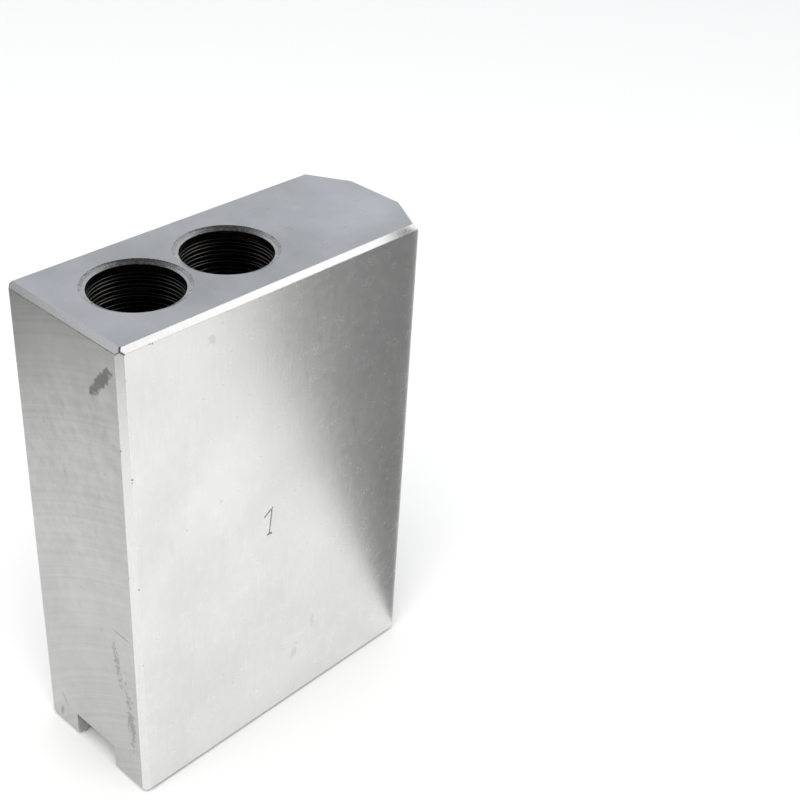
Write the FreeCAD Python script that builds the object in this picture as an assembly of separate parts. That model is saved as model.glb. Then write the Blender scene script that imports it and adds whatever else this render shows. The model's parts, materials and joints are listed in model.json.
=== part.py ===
# Pointed machinable soft jaw for a 6 inch power chuck: one steel block that bolts down on a
# serrated master jaw with two M10 cap screws and a T-nut.
#
# +X runs outward along the jaw, from its point to its square outer end, +Y across its width
# and +Z up. The origin is midway along and across the block, on the plane of the serration
# crests. Sizes are in millimetres and degrees.

import FreeCAD, Part
import math
import os

Vector = FreeCAD.Vector

# Block
width = 31.0
length = 74.0                # tip flat to outer end
height = 100.0               # serration crests to top face
point_angle = 120.0          # between the two faces of the point, so three jaws close up
tip_flat_width = 13.2
edge_chamfer = 1.0           # round the top and bottom faces
corner_chamfer = 1.1         # down the two vertical corners of the outer end

# Screw holes, each a clearance hole under a deep counterbore
screw_spacing = 20.0
outer_screw_inset = 15.5     # outer end to the axis of the outer hole
screw_hole_diameter = 11.0   # clearance for M10
screw_seat_height = 20.0     # serration crests to the seat of the screw head
counterbore_diameter = 17.0
mouth_diameter = 19.0
mouth_angle = 120.0

# Slot along the underside for the T-nut
slot_width = 12.1
slot_depth = 6.0

# Serrations across the underside, 1.5 mm pitch at 60 degrees
serration_pitch = 1.5
serration_angle = 60.0
serration_depth = 0.9
serration_root_width = 0.2
serration_count = 49

cutter_overrun = 0.1         # how far a cutter reaches past the face that it opens


def prism(points, direction):
    face = Part.Face(Part.makePolygon(points + points[:1]))
    return face.extrude(direction)


def tan_of_half(angle):
    return math.tan(math.radians(angle / 2))


def plan_outline():
    half_width = width / 2
    half_tip = tip_flat_width / 2
    tip_x = -length / 2
    outer_x = length / 2
    shoulder_x = tip_x + (half_width - half_tip) / tan_of_half(point_angle)
    return [
        Vector(tip_x, -half_tip, 0),
        Vector(shoulder_x, -half_width, 0),
        Vector(outer_x, -half_width, 0),
        Vector(outer_x, half_width, 0),
        Vector(shoulder_x, half_width, 0),
        Vector(tip_x, half_tip, 0),
    ]


def chamfered_block():
    # Only the level edges are chamfered here. Where two of them meet, they mitre.
    block = prism(plan_outline(), Vector(0, 0, height))
    level_edges = [edge for edge in block.Edges if edge.Vertexes[0].Z == edge.Vertexes[1].Z]
    return block.makeChamfer(edge_chamfer, level_edges)


def corner_wedge(side):
    # Takes one vertical corner off the outer end, level chamfers and all.
    reach = 2 * corner_chamfer
    outer_x = length / 2
    outer_y = side * width / 2
    points = [
        Vector(outer_x - reach, outer_y + side * (reach - corner_chamfer), 0),
        Vector(outer_x + reach - corner_chamfer, outer_y - side * reach, 0),
        Vector(outer_x + reach, outer_y + side * reach, 0),
    ]
    return prism(points, Vector(0, 0, height))


def serration_grooves():
    # One V groove per pitch, flat at its root, straight across the jaw. Its flanks carry on
    # at their own slope to just below the crests.
    half_root = serration_root_width / 2
    rise = serration_depth + cutter_overrun
    half_mouth = half_root + rise * tan_of_half(serration_angle)
    first_x = -serration_pitch * (serration_count - 1) / 2
    grooves = []
    for index in range(serration_count):
        centre_x = first_x + index * serration_pitch
        section = [
            Vector(centre_x - half_mouth, -width / 2, -cutter_overrun),
            Vector(centre_x + half_mouth, -width / 2, -cutter_overrun),
            Vector(centre_x + half_root, -width / 2, serration_depth),
            Vector(centre_x - half_root, -width / 2, serration_depth),
        ]
        grooves.append(prism(section, Vector(0, width, 0)))
    return grooves


def nut_slot():
    corner = Vector(-length / 2 - cutter_overrun, -slot_width / 2, -cutter_overrun)
    return Part.makeBox(
        length + 2 * cutter_overrun, slot_width, slot_depth + cutter_overrun, corner)


def screw_hole(centre_x):
    # Half section of the whole hole, turned about its axis: screw clearance up from the slot,
    # a flat seat, the counterbore and its countersunk mouth.
    screw_radius = screw_hole_diameter / 2
    counterbore_radius = counterbore_diameter / 2
    mouth_radius = mouth_diameter / 2
    mouth_depth = (mouth_radius - counterbore_radius) / tan_of_half(mouth_angle)
    bottom_z = slot_depth - cutter_overrun
    top_z = height + cutter_overrun
    section = [
        (0, bottom_z),
        (screw_radius, bottom_z),
        (screw_radius, screw_seat_height),
        (counterbore_radius, screw_seat_height),
        (counterbore_radius, height - mouth_depth),
        (mouth_radius, height),
        (mouth_radius, top_z),
        (0, top_z),
    ]
    points = [Vector(centre_x + radius, 0, z) for radius, z in section]
    face = Part.Face(Part.makePolygon(points + points[:1]))
    return face.revolve(Vector(centre_x, 0, 0), Vector(0, 0, 1), 360)


def soft_jaw():
    outer_hole_x = length / 2 - outer_screw_inset
    hole_centres = [outer_hole_x, outer_hole_x - screw_spacing]
    jaw = chamfered_block()
    jaw = jaw.cut([corner_wedge(side) for side in (-1, 1)])
    jaw = jaw.cut(serration_grooves())
    jaw = jaw.cut(nut_slot())
    jaw = jaw.cut([screw_hole(centre_x) for centre_x in hole_centres])
    return jaw.removeSplitter()


os.makedirs("parts", exist_ok=True)
jaw = soft_jaw()
jaw.Solids[0].exportStep("parts/soft_jaw.step")
print("solids", len(jaw.Solids), "valid", jaw.isValid(), "faces", len(jaw.Faces))
print("volume, cm3:", round(jaw.Volume / 1000, 2), "box:", jaw.BoundBox)
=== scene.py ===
import json
import math
import random

import bmesh
import bpy
from mathutils import Matrix, Vector


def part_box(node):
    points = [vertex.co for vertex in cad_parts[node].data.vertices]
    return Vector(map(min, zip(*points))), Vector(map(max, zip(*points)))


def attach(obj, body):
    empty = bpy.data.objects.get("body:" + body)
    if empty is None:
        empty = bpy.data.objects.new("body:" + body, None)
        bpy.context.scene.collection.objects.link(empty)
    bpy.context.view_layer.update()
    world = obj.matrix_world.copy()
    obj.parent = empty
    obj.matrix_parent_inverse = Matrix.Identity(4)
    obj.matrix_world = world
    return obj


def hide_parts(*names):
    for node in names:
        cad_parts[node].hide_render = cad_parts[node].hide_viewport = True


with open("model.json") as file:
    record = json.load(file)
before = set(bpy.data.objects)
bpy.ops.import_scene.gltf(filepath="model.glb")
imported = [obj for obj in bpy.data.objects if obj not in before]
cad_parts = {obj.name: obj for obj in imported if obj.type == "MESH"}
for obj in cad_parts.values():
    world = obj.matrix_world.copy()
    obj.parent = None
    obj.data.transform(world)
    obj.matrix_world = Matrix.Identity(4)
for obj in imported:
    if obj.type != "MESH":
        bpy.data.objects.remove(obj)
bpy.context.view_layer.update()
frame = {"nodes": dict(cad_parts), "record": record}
blockLow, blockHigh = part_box("soft_jaw")
mm = 0.001


# ---- small helpers shared by the pieces and the materials

def mountNamed(name):
    return next(mount for mount in frame["record"]["mounts"] if mount["name"] == name)


def newMesh(name, bm):
    mesh = bpy.data.meshes.new(name)
    bm.to_mesh(mesh)
    bm.free()
    return mesh


def newObject(name, mesh):
    made = bpy.data.objects.new(name, mesh)
    bpy.context.scene.collection.objects.link(made)
    return made


def addNode(tree, kind, sockets=None, **settings):
    # a socket's value is either a plain number or another node's output
    made = tree.nodes.new(kind)
    for name, value in settings.items():
        setattr(made, name, value)
    for name, value in (sockets or {}).items():
        if isinstance(value, bpy.types.NodeSocket):
            tree.links.new(value, made.inputs[name])
        else:
            made.inputs[name].default_value = value
    return made


# ---- screw holes: what the drill and the counterbore tool took out

holeLook = {
    "around": 144,             # faces round each hole
    "oversize": 0.02 * mm,     # clears the facets of the plain block's own holes
    "ringPitch": 1.0 * mm,     # tool rings down the counterbore
    "ringDepth": 0.11 * mm,
    "ringReach": 34 * mm,      # how far below the mouth the rings are modelled
    "lip": 0.16 * mm,          # rounding where the mouth meets the top face
    "mouthStep": 0.05 * mm,    # where a second pass of the countersink stopped short
    "overrun": 0.3 * mm,
    "seed": 7,
}


def holeProfile(place):
    # (radius, height) pairs up one side of the hole
    look = holeLook
    bore = mountNamed("counterbore_" + place)
    screw = mountNamed("screw_hole_" + place)
    boreRadius = bore["dims"]["r_mm"] * mm + look["oversize"]
    seat = screw["pos_m"][2] + screw["dims"]["length_mm"] * mm / 2
    boreTop = seat + bore["dims"]["length_mm"] * mm
    screwRadius = screw["dims"]["r_mm"] * mm + look["oversize"]
    mouthRadius = boreRadius + (blockHigh.z - boreTop) * math.tan(math.radians(60))
    chance = random.Random(look["seed"] + len(place))

    profile = [(0, screw["pos_m"][2] - screw["dims"]["length_mm"] * mm / 2 - look["overrun"])]
    profile.append((screwRadius, profile[0][1]))
    profile.append((screwRadius, seat - 0.4 * mm))
    profile.append((screwRadius + 0.4 * mm, seat - look["oversize"]))
    profile.append((boreRadius - 0.3 * mm, seat - look["oversize"]))
    profile.append((boreRadius, seat + 0.3 * mm))
    height = boreTop - look["ringReach"]
    profile.append((boreRadius, height))
    while height < boreTop - 1.6 * look["ringPitch"]:
        step = look["ringPitch"] * chance.uniform(0.6, 1.35)
        depth = look["ringDepth"] * chance.uniform(0.2, 1.0)
        profile.append((boreRadius + depth, height + depth * 0.9))
        profile.append((boreRadius + depth * 0.55, height + step * 0.5))
        profile.append((boreRadius, height + step))
        height += step
    profile.append((boreRadius, boreTop))
    halfway = boreRadius + (mouthRadius - boreRadius) * 0.55
    profile.append((halfway, boreTop + (blockHigh.z - boreTop) * 0.55 - look["mouthStep"]))
    profile.append((halfway + look["mouthStep"] * 0.6, boreTop + (blockHigh.z - boreTop) * 0.58))
    profile.append((mouthRadius, blockHigh.z - look["lip"] * 0.35))
    profile.append((mouthRadius + look["lip"] * 0.45, blockHigh.z - look["lip"] * 0.1))
    profile.append((mouthRadius + look["lip"], blockHigh.z + look["lip"] * 0.1))
    profile.append((mouthRadius + look["lip"], blockHigh.z + look["overrun"]))
    profile.append((0, blockHigh.z + look["overrun"]))
    return profile


def holeCutter(place):
    axisPoint = Vector(mountNamed("counterbore_" + place)["pos_m"])
    axisPoint.z = 0
    bm = bmesh.new()
    line = [bm.verts.new((axisPoint.x + radius, axisPoint.y, height))
            for radius, height in holeProfile(place)]
    for lower, upper in zip(line, line[1:]):
        bm.edges.new((lower, upper))
    bmesh.ops.spin(bm, geom=bm.verts[:] + bm.edges[:], cent=axisPoint, axis=(0, 0, 1),
                   angle=math.tau, steps=holeLook["around"], use_merge=True, use_duplicate=False)
    bmesh.ops.remove_doubles(bm, verts=bm.verts, dist=0.0005 * mm)
    bmesh.ops.recalc_face_normals(bm, faces=bm.faces)
    return newMesh("holeCutter", bm)


# ---- the number struck into the broad side

stampLook = {
    "centre": (4.9 * mm, 49.9 * mm),   # along and up the side
    "height": 6.0 * mm,
    "stroke": 0.55 * mm,
    "depth": 0.25 * mm,
    "lean": 7,                         # degrees
}


def stampCutter():
    look = stampLook
    tall = look["height"]
    strokes = [                        # ends of each stroke, from the middle of the figure
        ((-0.06, 0.5), (0.06, -0.46)),
        ((-0.06, 0.5), (0.24, 0.30)),
        ((-0.02, -0.48), (0.12, -0.46)),
    ]
    bm = bmesh.new()
    for start, end in strokes:
        a = Vector((start[0] * tall, 0, start[1] * tall))
        b = Vector((end[0] * tall, 0, end[1] * tall))
        along = b - a
        made = bmesh.ops.create_cube(bm, size=1)["verts"]
        bmesh.ops.scale(bm, vec=(along.length + look["stroke"], look["depth"] * 2, look["stroke"]),
                        verts=made)
        narrow = [v for v in made if v.co.y < 0]
        bmesh.ops.scale(bm, vec=(0.93, 1, 0.3), verts=narrow)
        turn = Matrix.Rotation(-math.atan2(along.z, along.x), 4, "Y")
        bmesh.ops.transform(bm, matrix=Matrix.Translation((a + b) / 2) @ turn, verts=made)
    place = Vector((look["centre"][0], blockHigh.y, look["centre"][1]))
    bmesh.ops.translate(bm, vec=place, verts=bm.verts)
    return newMesh("stampCutter", bm)


# ---- small knocks along the edges

nickLook = {
    "seed": 21,
    "count": 26,
    "size": (0.12 * mm, 0.34 * mm),
}


def nickCutter():
    chance = random.Random(nickLook["seed"])
    left, right = blockLow.x + 7 * mm, blockHigh.x - 2 * mm
    top = blockHigh.z
    bm = bmesh.new()
    for index in range(nickLook["count"]):
        radius = chance.uniform(*nickLook["size"])
        edge = index % 4
        if edge == 0:
            spot = Vector((chance.uniform(left, right), blockHigh.y, top - 1 * mm))
        elif edge == 1:
            spot = Vector((chance.uniform(left, right), blockLow.y, top - 1 * mm))
        elif edge == 2:
            spot = Vector((blockHigh.x - 1.1 * mm, blockHigh.y, chance.uniform(4 * mm, top - 4 * mm)))
        else:
            spot = Vector((blockHigh.x, chance.choice((-1, 1)) * (blockHigh.y - 1.1 * mm),
                           chance.uniform(4 * mm, top - 4 * mm)))
        shape = Matrix.Translation(spot) @ Matrix.Rotation(chance.uniform(0, math.tau), 4, "Y")
        shape = shape @ Matrix.Diagonal((1, 0.5, 0.6, 1))
        bmesh.ops.create_icosphere(bm, subdivisions=2, radius=radius, matrix=shape)
    return newMesh("nickCutter", bm)


# ---- the jaw itself

jawLook = {
    "arris": 0.1 * mm,          # rounding left on every edge by the deburring
    "arrisFrom": 2 * mm,        # the serrated foot keeps its sharp edges below this height
    "cornerBreak": 0.2 * mm,    # filed wider where three chamfers meet
    "flatness": math.radians(0.3),
}


def onHole(point):
    for place in ("outer", "inner"):
        axis = mountNamed("counterbore_" + place)["pos_m"]
        reach = math.hypot(point.x - axis[0], point.y - axis[1])
        if reach < mountNamed("counterbore_" + place)["dims"]["r_mm"] * mm + 1.3 * mm:
            return True
    return False


def atCorner(point):
    return (point.x > blockHigh.x - 1.3 * mm and abs(point.y) > blockHigh.y - 1.3 * mm
            and point.z > blockHigh.z - 1.3 * mm)


def isCornerMitre(edge):
    # the short ridges between the chamfers at the two outer top corners
    middle = (edge.verts[0].co + edge.verts[1].co) / 2
    return atCorner(middle) and edge.calc_length() < 2 * mm and edge.calc_face_angle() > math.radians(20)


def plainBlock():
    # the frame's own block, its loose triangles merged back into whole faces
    bm = bmesh.new()
    bm.from_mesh(frame["nodes"]["soft_jaw"].data)
    bmesh.ops.remove_doubles(bm, verts=bm.verts, dist=0.001 * mm)
    bmesh.ops.dissolve_limit(bm, angle_limit=jawLook["flatness"], verts=bm.verts, edges=bm.edges,
                             use_dissolve_boundaries=False)
    # the corners where three chamfers meet are filed first
    corners = [edge for edge in bm.edges if isCornerMitre(edge)]
    bmesh.ops.bevel(bm, geom=corners, offset=jawLook["cornerBreak"], offset_type="OFFSET", segments=2,
                    profile=0.5, affect="EDGES", material=-1, clamp_overlap=True)
    arrises = []
    for edge in bm.edges:
        middle = (edge.verts[0].co + edge.verts[1].co) / 2
        sharp = edge.is_manifold and edge.calc_face_angle() > math.radians(12)
        if sharp and middle.z > jawLook["arrisFrom"] and not onHole(middle) and not atCorner(middle):
            arrises.append(edge)
    bmesh.ops.bevel(bm, geom=arrises, offset=jawLook["arris"], offset_type="OFFSET", segments=2,
                    profile=0.5, affect="EDGES", material=-1, clamp_overlap=True)
    return newMesh("jawBlock", bm)


def cutAway(block, meshes, overlapping=False):
    for mesh in meshes:
        cutter = newObject("cutter", mesh)
        cut = block.modifiers.new("cut", "BOOLEAN")
        cut.operation = "DIFFERENCE"
        cut.solver = "EXACT"
        cut.use_self = overlapping
        cut.object = cutter
        shape = bpy.data.meshes.new_from_object(
            block.evaluated_get(bpy.context.evaluated_depsgraph_get()))
        block.modifiers.clear()
        block.data = shape
        bpy.data.objects.remove(cutter)


def makeJaw():
    block = newObject("jawBlock", plainBlock())
    cutAway(block, [stampCutter()], overlapping=True)
    cutAway(block, [nickCutter(), holeCutter("outer"), holeCutter("inner")])
    block.data.name = "jawBlock"
    print("jaw block", len(block.data.polygons), "faces")
    return block


finishNames = ["top", "end", "side", "back", "chamfer", "mouth", "bore", "foot"]


def finishOf(face):
    middle, way = face.calc_center_median(), face.normal
    if onHole(middle) and 6.1 * mm < middle.z < blockHigh.z - 0.002 * mm:
        return "mouth" if middle.z > blockHigh.z - 0.59 * mm else "bore"
    if way.z > 0.95:
        return "top" if middle.z > blockHigh.z - 1 * mm else "foot"
    if middle.z < 6.1 * mm and abs(middle.y) < 6.1 * mm:
        return "foot"
    if way.z < -0.2:
        return "foot"
    if way.z > 0.2:
        return "chamfer"
    if way.x > 0.95:
        return "end"
    if way.y > 0.95:
        return "side"
    if way.y < -0.95:
        return "back"
    if way.x > 0.2:
        return "chamfer"
    return "end"


def dressJaw(block, finishes):
    block.data.materials.clear()
    for name in finishNames:
        block.data.materials.append(finishes[name])
    bm = bmesh.new()
    bm.from_mesh(block.data)
    fromAxis = bm.verts.layers.float_vector.new("fromAxis")     # each hole's own coordinates
    axes = [mountNamed("counterbore_" + place)["pos_m"] for place in ("outer", "inner")]
    for vert in bm.verts:
        near = min(axes, key=lambda axis: abs(vert.co.x - axis[0]))
        vert[fromAxis] = vert.co - Vector((near[0], near[1], 0))
    for face in bm.faces:
        name = finishOf(face)
        face.material_index = finishNames.index(name)
        face.smooth = name in ("bore", "mouth")
    for edge in bm.edges:
        edge.smooth = not (edge.is_manifold and edge.calc_face_angle() > math.radians(40))
    bm.to_mesh(block.data)
    bm.free()
    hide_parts("soft_jaw")
    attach(block, "root")


# ---- what every steel finish is put together from, all in millimetres over the jaw

def startSteel(name):
    material = bpy.data.materials.new(name)
    material.use_nodes = True
    tree = material.node_tree
    tree.nodes.clear()
    where = addNode(tree, "ShaderNodeTexCoord")
    inMm = addNode(tree, "ShaderNodeMapping", {"Vector": where.outputs["Object"],
                                               "Scale": (1000, 1000, 1000)})
    return material, tree, inMm.outputs["Vector"]


def noiseOver(tree, place, scale, detail=3.0, rough=0.55, stretch=(1, 1, 1), turn=(0, 0, 0)):
    # scale is in patches per millimetre
    laid = addNode(tree, "ShaderNodeMapping", {"Vector": place, "Scale": stretch, "Rotation": turn})
    patches = addNode(tree, "ShaderNodeTexNoise", {"Vector": laid.outputs["Vector"], "Scale": scale,
                                                   "Detail": detail, "Roughness": rough})
    return patches.outputs["Fac"]


def spread(tree, value, low, high, toLow, toHigh):
    ranged = addNode(tree, "ShaderNodeMapRange", {"Value": value, "From Min": low, "From Max": high,
                                                  "To Min": toLow, "To Max": toHigh})
    return ranged.outputs["Result"]


def combine(tree, operation, first, second):
    return addNode(tree, "ShaderNodeMath", {0: first, 1: second}, operation=operation).outputs[0]


def cutterArcs(tree, place, centre, across, perMm, wobble=0.4):
    # rings about a centre, as a face mill leaves them; across drops the axis square to the face
    about = addNode(tree, "ShaderNodeVectorMath", {0: place, 1: [-c for c in centre]}, operation="ADD")
    flat = addNode(tree, "ShaderNodeVectorMath", {0: about.outputs[0], 1: across}, operation="MULTIPLY")
    reach = addNode(tree, "ShaderNodeVectorMath", {0: flat.outputs[0]}, operation="LENGTH").outputs["Value"]
    drift = noiseOver(tree, place, 0.05, 2.0)
    reach = combine(tree, "ADD", reach, combine(tree, "MULTIPLY", drift, wobble))
    rings = addNode(tree, "ShaderNodeTexNoise", {"W": reach, "Scale": perMm, "Detail": 4.0, "Roughness": 0.7},
                    noise_dimensions="1D")
    return rings.outputs["Fac"]


def markAt(tree, place, centre, size, turn=(0, 0, 0), ragged=0.5, grain=1.2):
    # an oval patch with a ragged edge: 1 in the middle, 0 outside
    inside = addNode(tree, "ShaderNodeMapping", {"Vector": place, "Location": centre, "Scale": size,
                                                 "Rotation": turn}, vector_type="TEXTURE")
    reach = addNode(tree, "ShaderNodeVectorMath", {0: inside.outputs["Vector"]}, operation="LENGTH")
    torn = combine(tree, "MULTIPLY", combine(tree, "SUBTRACT", noiseOver(tree, place, grain, 3.0), 0.5),
                   ragged * 4)
    edge = combine(tree, "ADD", reach.outputs["Value"], torn)
    return spread(tree, edge, 0.7, 1.1, 1.0, 0.0)


def finishSteel(material, tree, colour, tones, rough, height, strength=0.2, depth=0.05):
    # tones multiply the colour; height is in millimetres times depth
    tone = tones[0]
    for more in tones[1:]:
        tone = combine(tree, "MULTIPLY", tone, more)
    paint = addNode(tree, "ShaderNodeVectorMath", {0: colour, "Scale": tone}, operation="SCALE")
    relief = addNode(tree, "ShaderNodeBump", {"Height": height, "Strength": strength, "Distance": depth * mm})
    steel = addNode(tree, "ShaderNodeBsdfPrincipled", {
        "Base Color": paint.outputs["Vector"], "Metallic": 1.0, "Roughness": rough,
        "Normal": relief.outputs["Normal"]})
    addNode(tree, "ShaderNodeOutputMaterial", {"Surface": steel.outputs["BSDF"]})
    return material


def darkened(tree, masks, strength):
    # one tone from several marks: 1 where there is none, down to 1 - strength
    total = masks[0]
    for more in masks[1:]:
        total = combine(tree, "MAXIMUM", total, more)
    return combine(tree, "SUBTRACT", 1.0, combine(tree, "MULTIPLY", total, strength))


# ---- finishes

def groundTop():
    # surface ground along the jaw, with soft cloudy patches
    material, tree, place = startSteel("groundTop")
    lines = noiseOver(tree, place, 1.0, 4.0, 0.7, stretch=(0.12, 3.0, 1))
    clouds = noiseOver(tree, place, 0.045, 3.0, 0.5)
    mottle = noiseOver(tree, place, 0.35, 4.0, 0.6)
    specks = spread(tree, noiseOver(tree, place, 1.1, 2.0), 0.70, 0.78, 0.0, 1.0)
    return finishSteel(material, tree, (0.60, 0.615, 0.64), [
        spread(tree, lines, 0.3, 0.7, 0.975, 1.025),
        spread(tree, clouds, 0.35, 0.65, 0.86, 1.10),
        spread(tree, mottle, 0.3, 0.7, 0.97, 1.03),
        darkened(tree, [specks], 0.15),
    ], spread(tree, mottle, 0.3, 0.7, 0.27, 0.35), lines, 0.10)


def milledEnd():
    # fly cut square to the jaw: faint arcs, a rubbed smudge and some scratches
    material, tree, place = startSteel("milledEnd")
    arcs = cutterArcs(tree, place, (37, 60, -70), (0, 1, 1), 0.9)
    fine = noiseOver(tree, place, 1.6, 4.0, 0.7, stretch=(1, 0.25, 1.6), turn=(0.35, 0, 0))
    clouds = noiseOver(tree, place, 0.07, 3.0, 0.5)
    mottle = noiseOver(tree, place, 0.5, 4.0, 0.6)
    specks = spread(tree, noiseOver(tree, place, 1.0, 2.0), 0.69, 0.76, 0.0, 1.0)
    smudge = markAt(tree, place, (37, 10.2, 92.0), (3, 5.0, 1.15), (math.radians(49), 0, 0), 0.4, 1.1)
    scratches = [
        markAt(tree, place, (37, 11.0, 38.0), (3, 2.7, 0.3), (math.radians(-2), 0, 0), 0.3, 1.0),
        markAt(tree, place, (37, 9.0, 30.0), (3, 0.7, 4.6), (math.radians(8), 0, 0), 1.2, 1.3),
        markAt(tree, place, (37, 12.2, 17.0), (3, 0.9, 6.0), (math.radians(4), 0, 0), 1.3, 1.2),
        markAt(tree, place, (37, -9.9, 7.6), (3, 0.22, 1.8), (math.radians(32), 0, 0), 0.3, 1.0),
        markAt(tree, place, (37, -11.2, 3.6), (3, 0.5, 1.3), (math.radians(-15), 0, 0), 0.6, 1.0),
    ]
    return finishSteel(material, tree, (0.535, 0.535, 0.525), [
        spread(tree, arcs, 0.3, 0.7, 0.95, 1.05),
        spread(tree, fine, 0.3, 0.7, 0.98, 1.02),
        spread(tree, clouds, 0.35, 0.65, 0.96, 1.04),
        darkened(tree, [specks], 0.18),
        darkened(tree, [smudge], 0.55),
        darkened(tree, scratches, 0.3),
    ], spread(tree, mottle, 0.3, 0.7, 0.38, 0.48), combine(tree, "ADD", arcs, fine), 0.12)


def grainedSide():
    # milled with a fine grain that runs up the jaw, dotted with small pits
    material, tree, place = startSteel("grainedSide")
    grain = noiseOver(tree, place, 1.0, 4.0, 0.7, stretch=(4.0, 1, 0.22))
    clouds = noiseOver(tree, place, 0.05, 3.0, 0.5)
    mottle = noiseOver(tree, place, 0.45, 4.0, 0.65)
    pits = spread(tree, noiseOver(tree, place, 0.9, 2.0), 0.70, 0.77, 0.0, 1.0)
    scuffs = [
        markAt(tree, place, (-6.7, 15.5, 18.4), (0.5, 3, 1.2), ragged=0.8),
        markAt(tree, place, (-1.7, 15.5, 12.6), (0.8, 3, 2.4), (0, math.radians(-25), 0), 0.9),
        markAt(tree, place, (16.9, 15.5, 60.7), (0.5, 3, 0.35), ragged=0.3),
        markAt(tree, place, (18.3, 15.5, 94.8), (0.8, 3, 0.9), ragged=0.9),
    ]
    return finishSteel(material, tree, (0.74, 0.745, 0.735), [
        spread(tree, grain, 0.3, 0.7, 0.965, 1.03),
        spread(tree, clouds, 0.35, 0.65, 0.95, 1.04),
        spread(tree, mottle, 0.3, 0.7, 0.97, 1.03),
        darkened(tree, [pits], 0.22),
        darkened(tree, scuffs, 0.13),
    ], spread(tree, mottle, 0.3, 0.7, 0.24, 0.28), grain, 0.10)


def swirledSide():
    # face milled with one big cutter, whose rings sweep across the whole side
    material, tree, place = startSteel("swirledSide")
    rings = cutterArcs(tree, place, (-30, -15.5, 38), (1, 0, 1), 0.55)
    fine = cutterArcs(tree, place, (-30, -15.5, 38), (1, 0, 1), 2.6)
    clouds = noiseOver(tree, place, 0.05, 3.0, 0.5)
    pits = spread(tree, noiseOver(tree, place, 0.8, 2.0), 0.70, 0.76, 0.0, 1.0)
    return finishSteel(material, tree, (0.72, 0.725, 0.72), [
        spread(tree, rings, 0.3, 0.7, 0.88, 1.08),
        spread(tree, fine, 0.3, 0.7, 0.95, 1.04),
        spread(tree, clouds, 0.35, 0.65, 0.95, 1.05),
        darkened(tree, [pits], 0.25),
    ], spread(tree, rings, 0.3, 0.7, 0.24, 0.36), combine(tree, "ADD", rings, fine), 0.18)


def brightChamfer():
    material, tree, place = startSteel("brightChamfer")
    chatter = noiseOver(tree, place, 1.0, 3.0, 0.6, stretch=(1.5, 1.5, 0.4))
    return finishSteel(material, tree, (0.74, 0.74, 0.73), [
        spread(tree, chatter, 0.3, 0.7, 0.95, 1.04),
    ], spread(tree, chatter, 0.3, 0.7, 0.25, 0.34), chatter, 0.12)


def aroundHole(tree):
    # coordinates about the nearest hole: angle in turns, distance out and height, in millimetres
    about = addNode(tree, "ShaderNodeAttribute", attribute_name="fromAxis")
    apart = addNode(tree, "ShaderNodeSeparateXYZ", {"Vector": about.outputs["Vector"]})
    angle = combine(tree, "ARCTAN2", apart.outputs["Y"], apart.outputs["X"])
    height = combine(tree, "MULTIPLY", apart.outputs["Z"], 1000.0)
    return angle, height


def countersunkMouth():
    # the countersink chattered, which left short ticks across the cone
    material, tree, place = startSteel("countersunkMouth")
    angle, height = aroundHole(tree)
    ticks = addNode(tree, "ShaderNodeTexNoise", {"W": angle, "Scale": 26.0, "Detail": 4.0, "Roughness": 0.8},
                    noise_dimensions="1D").outputs["Fac"]
    mottle = noiseOver(tree, place, 1.6, 3.0, 0.7)
    rim = spread(tree, height, 99.62, 99.96, 0.0, 1.0)
    broken = combine(tree, "MULTIPLY", rim, spread(tree, combine(tree, "ADD", ticks, mottle), 0.98, 1.08, 0.0, 1.0))
    return finishSteel(material, tree, (0.60, 0.60, 0.59), [
        spread(tree, ticks, 0.3, 0.7, 0.72, 1.12),
        spread(tree, mottle, 0.3, 0.7, 0.78, 1.12),
        darkened(tree, [broken], 0.75),
    ], spread(tree, mottle, 0.3, 0.7, 0.22, 0.4), combine(tree, "ADD", ticks, mottle), 0.3)


def paintedShadeBoreSteel():
    # painted shade: the bore wall gets a very dark steel colour for the shade down the hole, lightened up to 3.2
    # times where the tool rings and patches meet
    material, tree, place = startSteel("paintedShadeBoreSteel")
    angle, height = aroundHole(tree)
    rings = addNode(tree, "ShaderNodeTexNoise", {"W": height, "Scale": 1.3, "Detail": 4.0, "Roughness": 0.75},
                    noise_dimensions="1D").outputs["Fac"]
    patches = noiseOver(tree, place, 0.18, 3.0, 0.6, stretch=(1, 1, 2.5))
    shadeLift = combine(tree, "MULTIPLY", spread(tree, rings, 0.52, 0.62, 0.0, 1.0),
                   spread(tree, patches, 0.48, 0.62, 0.0, 1.0))
    # this dark colour is painted shade, not the steel's own colour
    return finishSteel(material, tree, (0.13, 0.125, 0.12), [
        combine(tree, "ADD", 1.0, combine(tree, "MULTIPLY", shadeLift, 2.2)),
    ], spread(tree, patches, 0.3, 0.7, 0.26, 0.4), rings, 0.5, 0.08)


def milledFoot():
    material, tree, place = startSteel("milledFoot")
    lines = noiseOver(tree, place, 1.0, 3.0, 0.65, stretch=(2.5, 0.2, 2.5))
    along = noiseOver(tree, place, 1.0, 3.0, 0.65, stretch=(0.2, 2.5, 2.5))
    mottle = noiseOver(tree, place, 0.9, 4.0, 0.6)
    return finishSteel(material, tree, (0.50, 0.50, 0.49), [
        spread(tree, along, 0.3, 0.7, 0.9, 1.08),
        spread(tree, mottle, 0.3, 0.7, 0.85, 1.1),
    ], spread(tree, mottle, 0.3, 0.7, 0.32, 0.48), combine(tree, "ADD", lines, along), 0.2)


def makeFinishes():
    return {
        "top": groundTop(),
        "end": milledEnd(),
        "side": grainedSide(),
        "back": swirledSide(),
        "chamfer": brightChamfer(),
        "mouth": countersunkMouth(),
        "bore": paintedShadeBoreSteel(),
        "foot": milledFoot(),
    }


# ---- floor, lights and camera

stageLook = {
    "floorSize": 4.0,
    "floorColour": (0.88, 0.88, 0.87, 1),
    "worldColour": (0.965, 0.985, 1.02, 1),
    "worldStrength": 0.80,
    "floorPower": 10.0,
    "floorLight": (1.0, 0.975, 0.94),
}

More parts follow.
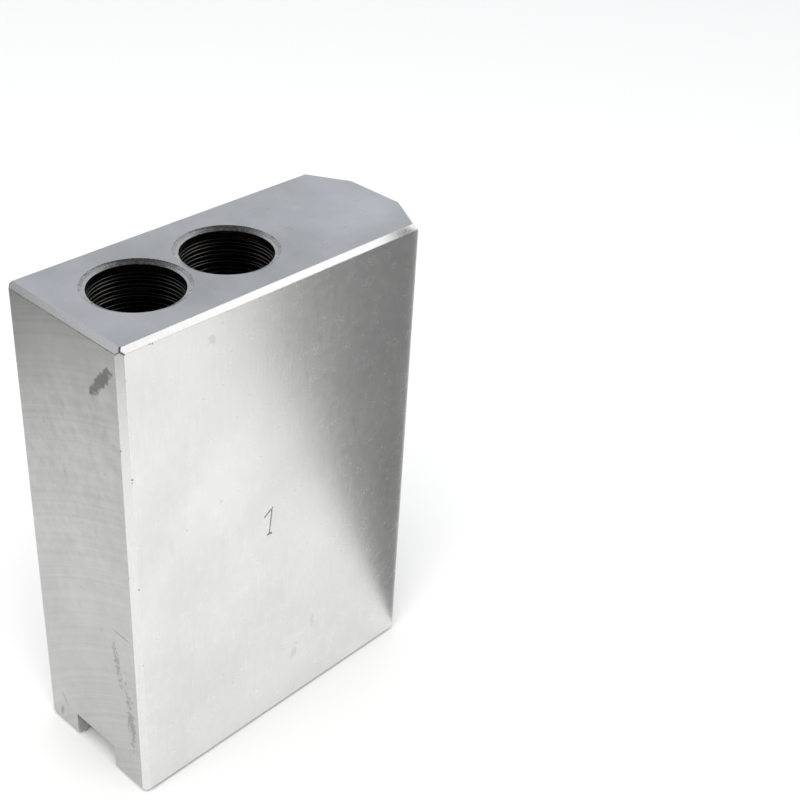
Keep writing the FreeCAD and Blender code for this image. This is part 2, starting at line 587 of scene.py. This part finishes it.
# studio cards that only the steel sees, by their reflection: where each one stands, what it
# faces, its width and height, and how bright it is
studioCards = {
    "overheadCard": ((0.16, 0.14, 0.92), (0.01, 0, 0.1), (1.5, 1.5), 0.04, 0),
    "cameraCard": ((0.66, 0.62, 0.50), (0.03, 0.01, 0.1), (1.9, 0.9), 0.05, 0),
    "chamferCard": ((-0.54, 0.42, 0.68), (0, 0, 0.09), (0.5, 0.5), 1.6, 0),
    "endCard": ((0.126, -0.139, 0.09), (0.037, 0, 0.09), (0.40, 0.18), 0.16, 0),
    "cornerCard": ((0.172, 0.110, 0.09), (0.037, 0.0155, 0.09), (0.20, 0.18), 0.12, 0),
    "horizonCard": ((-0.62, -0.54, 0.09), (0, 0, 0.09), (1.2, 0.16), 2.0, 0),
    "windowBar": ((-0.347, -0.408, 0.373), (0, 0, 0.1), (0.55, 0.05), 0.25, 41),
}


def emitting(name, brightness, colour=(1, 1, 1, 1)):
    material = bpy.data.materials.new(name)
    material.use_nodes = True
    tree = material.node_tree
    tree.nodes.clear()
    glow = addNode(tree, "ShaderNodeEmission", {"Color": colour, "Strength": brightness})
    addNode(tree, "ShaderNodeOutputMaterial", {"Surface": glow.outputs["Emission"]})
    return material


def addCard(name, place, aim, size, brightness, roll=0):
    bm = bmesh.new()
    bmesh.ops.create_grid(bm, x_segments=1, y_segments=1, size=0.5)
    bmesh.ops.scale(bm, vec=(size[0], size[1], 1), verts=bm.verts)
    facing = (Vector(aim) - Vector(place)).to_track_quat("Z", "Y").to_matrix().to_4x4()
    rolled = Matrix.Rotation(math.radians(roll), 4, "Z")
    bmesh.ops.transform(bm, matrix=Matrix.Translation(place) @ facing @ rolled, verts=bm.verts)
    card = newObject(name, newMesh(name, bm))
    card.data.materials.append(emitting(name, brightness))
    card.visible_camera = False
    card.visible_diffuse = False
    card.visible_transmission = False
    card.visible_shadow = False


def makeFloor():
    bm = bmesh.new()
    bmesh.ops.create_grid(bm, x_segments=8, y_segments=8, size=stageLook["floorSize"] / 2)
    floor = newObject("floor", newMesh("floor", bm))
    material = bpy.data.materials.new("paleFloor")
    material.use_nodes = True
    shader = material.node_tree.nodes["Principled BSDF"]
    shader.inputs["Base Color"].default_value = stageLook["floorColour"]
    shader.inputs["Roughness"].default_value = 0.9
    shader.inputs["Specular IOR Level"].default_value = 0.1
    floor.data.materials.append(material)


def addPanel(name, place, aim, size, power, colour=(1, 1, 1)):
    light = bpy.data.lights.new(name, "AREA")
    light.shape = "RECTANGLE"
    light.size, light.size_y = size
    light.energy = power
    light.color = colour
    panel = bpy.data.objects.new(name, light)
    bpy.context.scene.collection.objects.link(panel)
    panel.location = place
    panel.rotation_euler = (Vector(aim) - Vector(place)).to_track_quat("-Z", "Y").to_euler()
    return panel


def makeLights():
    world = bpy.data.worlds.new("studio")
    bpy.context.scene.world = world
    world.use_nodes = True
    background = world.node_tree.nodes["Background"]
    background.inputs["Color"].default_value = stageLook["worldColour"]
    background.inputs["Strength"].default_value = stageLook["worldStrength"]
    overhead = addPanel("overheadPanel", (0.42, 0.40, 0.95), (0, 0, 0), (1.0, 1.0), stageLook["floorPower"],
                        stageLook["floorLight"])
    overhead.visible_glossy = False
    for name, card in studioCards.items():
        addCard(name, *card)
    # the card beside the jaw stands from its shoulder back, where the next jaw of the set goes
    shoulder = Vector((-0.0335, blockHigh.y + 0.0015, 0))
    far = shoulder + Vector((-0.5, 0.866, 0)) * 0.15
    middle = (shoulder + far) / 2 + Vector((0, 0, 0.055))
    addCard("besideCard", middle, middle + Vector((0.866, 0.5, 0)), (0.15, 0.11), 0.22)


cameraLook = {
    "place": (148.37 * mm, 172.12 * mm, 215.35 * mm),
    "aim": (-27.45 * mm, 17.48 * mm, 64.03 * mm),
    "roll": 3.648,               # degrees
    "lens": 63.80,
}


def makeCamera():
    camera = bpy.data.cameras.new("camera")
    camera.lens = cameraLook["lens"]
    camera.sensor_width = 36
    camera.clip_start = 0.01
    shown = bpy.data.objects.new("camera", camera)
    bpy.context.scene.collection.objects.link(shown)
    place, aim = Vector(cameraLook["place"]), Vector(cameraLook["aim"])
    turn = (aim - place).to_track_quat("-Z", "Y").to_matrix().to_4x4()
    shown.matrix_world = (Matrix.Translation(place) @ turn
                          @ Matrix.Rotation(math.radians(cameraLook["roll"]), 4, "Z"))
    bpy.context.scene.camera = shown
    bpy.context.scene.view_settings.view_transform = "Standard"


jaw = makeJaw()
dressJaw(jaw, makeFinishes())
makeFloor()
makeLights()
makeCamera()
